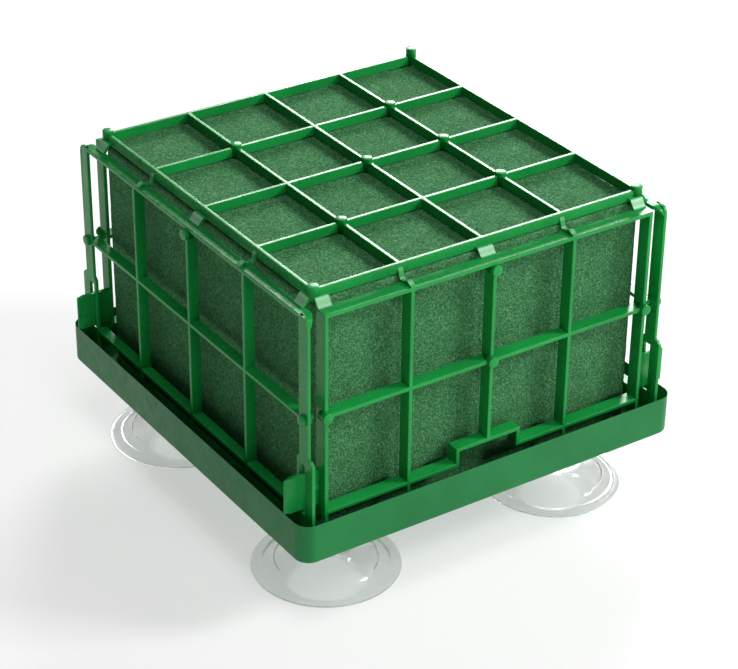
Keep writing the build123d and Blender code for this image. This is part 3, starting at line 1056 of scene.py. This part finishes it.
# Side, quarter turns, half of its length, grid's edge, panel's inner face, depth of its ribs.
sides = (("front", 0, grid_half_x, grid_half_y, end_inner, END_DEPTH),
         ("right", 1, grid_half_y, grid_half_x, side_inner, SIDE_DEPTH),
         ("back", 2, grid_half_x, grid_half_y, end_inner, END_DEPTH),
         ("left", -1, grid_half_y, grid_half_x, side_inner, SIDE_DEPTH))
for side, quarter_turns, half, edge, panel_inner, depth in sides:
    corner = half - CORNER_STRAP / 2
    quarter = (half - RIB / 2) / 2
    for kind, width, middles in (("corner_hinges", CORNER_STRAP, (-corner, corner)),
                                 ("centre_hinge", CENTRE_STRAP, (0,)),
                                 ("quarter_hinges", QUARTER_STRAP, (-quarter, quarter))):
        curve = strap_curve(panel_inner - edge, depth, kind)
        strips = [ribbon(width, middle, curve) for middle in middles]
        strap = join(strips, f"cage_{side}_{kind}")
        apply_modifier(strap, "SOLIDIFY", thickness=STRAP, offset=-1)
        leave_edit(strap)
        soften(strap, STRAP_EDGE)
        mark_painted_highlight(strap)
        strap_pieces[f"{side}_{kind}"] = hang(strap, quarter_turns, edge)
print(len(strap_pieces), "strap pieces")

# %% [markdown]
# ## The tray
#
# A shallow moulded box. It starts as a cube: its upright edges get a large bevel, the bottom
# edge a small one, the top face is inset by the wall's thickness and pushed down to the floor.

# %% Model the tray
TRAY_WALL = 1.7 * MM
TRAY_CORNER = 4.6 * MM
TRAY_BOTTOM_ROUND = 0.8 * MM
TRAY_EDGE = 0.3 * MM
STEM_RADIUS = 4.0 * MM
STEM_CLEARANCE = 0.05 * MM  # round the stem, in the tray's floor
HEAD_RADIUS = 5.6 * MM  # of the button that holds a cup's stem in its hole
HEAD_CLEARANCE = 0.3 * MM  # round the button, in the foam

floor_top = foam_low.z
bpy.ops.object.select_all(action="DESELECT")
bpy.ops.mesh.primitive_cube_add(size=1, location=(tray_low + tray_high) / 2)
tray = bpy.context.object
tray.name = "tray_shell"
tray.scale = tray_high - tray_low
settle(tray)
half_up = (tray_low.z + tray_high.z) / 2
pick(tray, "EDGE", lambda middle: abs(middle.z - half_up) < TOUCHING)
bpy.ops.mesh.bevel(offset=TRAY_CORNER, segments=8, affect="EDGES")
pick(tray, "FACE", lambda middle: middle.z < tray_low.z + TOUCHING)
bpy.ops.mesh.bevel(offset=TRAY_BOTTOM_ROUND, segments=3, affect="EDGES")
pick(tray, "FACE", lambda middle: middle.z > tray_high.z - TOUCHING)
bpy.ops.mesh.inset(thickness=TRAY_WALL)
bpy.ops.transform.translate(value=(0, 0, floor_top - tray_high.z))
leave_edit(tray)
print("tray", len(tray.data.polygons), "faces before its holes")

# %% Drill the tray for the cups' stems
cup_places = {}
for row in ("front", "rear"):
    for column in ("left", "right"):
        low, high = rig.box(f"suction_cup_{row}_{column}")
        cup_places[f"{row}_{column}"] = (low + high) / 2


def cut_round(piece, radius, low, high):
    """Cut a round hole, from one height to another, in the piece at each cup."""
    for place in cup_places.values():
        bpy.ops.object.select_all(action="DESELECT")
        bpy.ops.mesh.primitive_cylinder_add(
            vertices=48, radius=radius, depth=high - low,
            location=(place.x, place.y, (low + high) / 2))
        drill = bpy.context.object
        apply_modifier(piece, "BOOLEAN", object=drill, operation="DIFFERENCE", solver="EXACT")
        bpy.data.objects.remove(drill)


cut_round(tray, STEM_RADIUS + STEM_CLEARANCE, tray_low.z - 1 * MM, floor_top + 1 * MM)
leave_edit(tray)
soften(tray, TRAY_EDGE)
print("tray", len(tray.data.polygons), "faces")

# %% [markdown]
# ## The foam block
#
# Foam takes every knock, so its block is not a clean box: edges are worn, faces are slightly
# uneven, and the whole skin is pitted. The block is cut out for the heads of the cups' stems
# underneath, turned into an even mesh, and pushed in and out by noise: slow dents first and
# then the grain. It breaks rather than folds, so it needs no cloth simulation.

# %% Model the foam
FOAM_WEAR = 0.4 * MM
FOAM_MESH = 0.95 * MM
HEAD_ROOM = 2.6 * MM  # depth of the hollow over a stem's head
DENT_MIDDLE = 0.6  # noise below this pushes in and noise above it pushes out

bpy.ops.object.select_all(action="DESELECT")
bpy.ops.mesh.primitive_cube_add(size=1, location=(foam_low + foam_high) / 2)
foam = bpy.context.object
foam.name = "foam_block"
foam.scale = foam_high - foam_low
settle(foam)
cut_round(foam, HEAD_RADIUS + HEAD_CLEARANCE, foam_low.z - 1 * MM, foam_low.z + HEAD_ROOM)
leave_edit(foam)
apply_modifier(foam, "BEVEL", width=FOAM_WEAR, segments=3, limit_method="ANGLE",
               angle_limit=SHARP_ANGLE)
apply_modifier(foam, "REMESH", mode="VOXEL", voxel_size=FOAM_MESH)


def dent(piece, name, size, depth):
    """Push the surface in and out by noise with features of this size."""
    noise = bpy.data.textures.new(name, "CLOUDS")
    noise.noise_scale = size
    noise.noise_depth = 2
    apply_modifier(piece, "DISPLACE", texture=noise, texture_coords="LOCAL", strength=depth,
                   mid_level=DENT_MIDDLE)


dent(foam, "foam_dents", 9 * MM, 0.22 * MM)
dent(foam, "foam_grain", 1.6 * MM, 0.12 * MM)
make_active(foam)
bpy.ops.object.shade_smooth()
print("foam", len(foam.data.polygons), "faces")

# %% [markdown]
# ## Suction cups
#
# A cup is round, so it is a spin: half of its section, drawn as a chain of points, is turned
# once round the cup's axis. The chain runs from the rim up the skirt, over the stem and back
# along the hollow underneath. Two fine ridges run round the skirt, and a wide head above the
# tray's floor holds the stem in its hole.

# %% Model a suction cup
CUP_TURN_STEPS = 72
NECK_RADIUS = 6.0 * MM
AXIAL_CLEARANCE = 0.1 * MM
HOLLOW_TOP = 8.0 * MM
RIDGE_RADII = (19.0 * MM, 15.5 * MM)
RIDGE_HEIGHT = 0.55 * MM
RIDGE_WIDTH = 0.3 * MM

cup_radius = (cup_high.x - cup_low.x) / 2


def bezier(start, pull, second_pull, end, steps):
    """Points along a cubic curve after its start."""
    points = []
    for step in range(1, steps + 1):
        t = step / steps
        weights = ((1 - t) ** 3, 3 * t * (1 - t) ** 2, 3 * t * t * (1 - t), t ** 3)
        corners = (start, pull, second_pull, end)
        points.append(tuple(sum(w * c[axis] for w, c in zip(weights, corners))
                            for axis in (0, 1)))
    return points


def ridge(radius):
    """Extra height of the skirt at this radius: two fine moulded rings."""
    return sum(RIDGE_HEIGHT * math.exp(-((radius - ring) / RIDGE_WIDTH) ** 2)
               for ring in RIDGE_RADII)


def cup_section():
    """(radius, height) round the cup's half section, from the rim over the top to the hollow."""
    rim = [(cup_radius - 0.5 * MM, 0.0), (cup_radius - 0.1 * MM, 0.08 * MM),
           (cup_radius, 0.3 * MM), (cup_radius - 0.1 * MM, 0.5 * MM)]
    skirt = bezier(rim[-1], (13.2 * MM, 1.3 * MM), (7.5 * MM, 5.9 * MM),
                   (NECK_RADIUS, 13.0 * MM), 40)
    skirt = [(radius, height + ridge(radius)) for radius, height in skirt]
    neck_top = tray_low.z - AXIAL_CLEARANCE
    head = floor_top + AXIAL_CLEARANCE
    neck = [(NECK_RADIUS, neck_top - 0.4 * MM), (NECK_RADIUS - 0.4 * MM, neck_top),
            (STEM_RADIUS, neck_top), (STEM_RADIUS, head), (HEAD_RADIUS - 0.2 * MM, head),
            (HEAD_RADIUS, head + 0.3 * MM)]
    cap = bezier(neck[-1], (HEAD_RADIUS, head + 1.5 * MM), (3.0 * MM, cup_high.z),
                 (0.0, cup_high.z - 0.05 * MM), 8)
    hollow = [(0.0, HOLLOW_TOP)]
    hollow += bezier(hollow[0], (8.7 * MM, HOLLOW_TOP), (13.2 * MM, 0.7 * MM), rim[0], 24)
    return rim + skirt + neck + cap + hollow


def model_cup(name, centre):
    """Chain of points for the half section, spun round the upright axis."""
    section = cup_section()
    chain = new_sheet(name, 0.0, 1.0, 0.0, 1.0)
    pick(chain, "VERT", lambda place: place.x > 0.5 or place.y > 0.5)
    bpy.ops.mesh.delete(type="VERT")
    pick(chain, "VERT", lambda place: True)
    bpy.ops.transform.translate(value=(section[0][0], 0, section[0][1]))
    for (radius, height), (next_radius, next_height) in zip(section, section[1:]):
        bpy.ops.mesh.extrude_region_move(TRANSFORM_OT_translate={
            "value": (next_radius - radius, 0, next_height - height)})
    pick(chain, "VERT", lambda place: True)
    bpy.ops.mesh.spin(steps=CUP_TURN_STEPS, angle=2 * math.pi, center=(0, 0, 0), axis=(0, 0, 1))
    leave_edit(chain)
    chain.location = (centre.x, centre.y, 0)
    settle(chain)
    bpy.ops.object.shade_smooth_by_angle(angle=math.radians(45))
    return chain


cups = {place_name: model_cup(f"vinyl_cup_{place_name}", centre)
        for place_name, centre in cup_places.items()}
print("a cup has", len(cups["front_left"].data.polygons), "faces")

# %% [markdown]
# ## Bodies and finish
#
# Each piece now gets its material, the design's slot and nodes that it stands for, and the body
# that it moves with. A strap follows the grid up to a line near it, follows the panel past a
# line on the rail, and turns smoothly between the two.

# %% Tie every piece to the design
def dress(piece, material, slot, *nodes):
    """Give a piece its material and slot, and let it stand for these nodes."""
    piece.data.materials.clear()
    piece.data.materials.append(material)
    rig.slot(piece, slot)
    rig.replaces(piece, *nodes)


dress(cage_grid, cage_plastic, "cage_plastic", "top_grid")
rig.ride(cage_grid, "cage_top")
for side, panel in (("front", front_panel), ("back", back_panel),
                    ("left", left_panel), ("right", right_panel)):
    dress(panel, cage_plastic, "cage_plastic", f"{side}_panel")
    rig.ride(panel, f"{side}_panel")

TURN_END = 0.6 * MM  # past the panel's inner face
outwards = {"front": Vector((0, -1, 0)), "back": Vector((0, 1, 0)),
            "left": Vector((-1, 0, 0)), "right": Vector((1, 0, 0))}

for node, strap in strap_pieces.items():
    side = node.split("_")[0]
    dress(strap, strap_plastic, "cage_plastic", node)
    edge = grid_half_y if side in ("front", "back") else grid_half_x
    inner = end_inner if side in ("front", "back") else side_inner
    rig.blend(strap, "cage_top", f"{side}_panel",
             start=tuple(outwards[side] * (edge + LEVEL_RUN)),
             end=tuple(outwards[side] * (inner + TURN_END)))

dress(tray, tray_plastic, "tray_plastic", "tray")
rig.ride(tray, "tray")
dress(foam, foam_material, "foam", "foam_brick")
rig.ride(foam, "tray")
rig.padded(foam, fill=1.0)
for place_name, cup in cups.items():
    dress(cup, vinyl, "clear_vinyl", f"suction_cup_{place_name}")
    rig.ride(cup, f"suction_cup_{place_name}")
print("dressed", len(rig.table()), "pieces")

# %% [markdown]
# ## The table
#
# The object stands on a white painted table, lit evenly from underneath through its top, which
# is why its shadows are soft and pale. The material glows a little to stand for that light.

# %% Lay the table top
TABLE_SIZE = 12.0
TABLE_DROP = 0.02 * MM  # just below the cups' rims, so no two faces coincide

floor_material, floor_output = new_material("white_paint_lit")
place = add_node(floor_material, "ShaderNodeTexCoord").outputs["Object"]
floor_tone = add_node(floor_material, "ShaderNodeTexNoise", {"Scale": 3.0}, {"Vector": place})
floor_shade = ramp(floor_material, floor_tone.outputs["Fac"], ((0.0, "#b2b3b2"), (1.0, "#b8b8b7")))
floor_shader = add_node(floor_material, "ShaderNodeBsdfPrincipled",
                        {"Roughness": 0.8, "Specular IOR Level": 0.1,
                         "Emission Color": linear("#ffffff"), "Emission Strength": 0.52},
                        {"Base Color": floor_shade})
floor_material.node_tree.links.new(floor_shader.outputs["BSDF"], floor_output.inputs["Surface"])
bpy.ops.object.select_all(action="DESELECT")
bpy.ops.mesh.primitive_plane_add(size=TABLE_SIZE, location=(0, 0, -TABLE_DROP))
floor = bpy.context.object
floor.name = "floor"
settle(floor)
floor.data.materials.append(floor_material)
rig.stage(floor)
print("table laid")

# %% Write both boxes and finish
seen_low, seen_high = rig.bounds()
with open("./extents.json", "w") as size_file:
    json.dump({"cad": [list(cad_low), list(cad_high)],
               "visual": [list(seen_low), list(seen_high)]}, size_file)
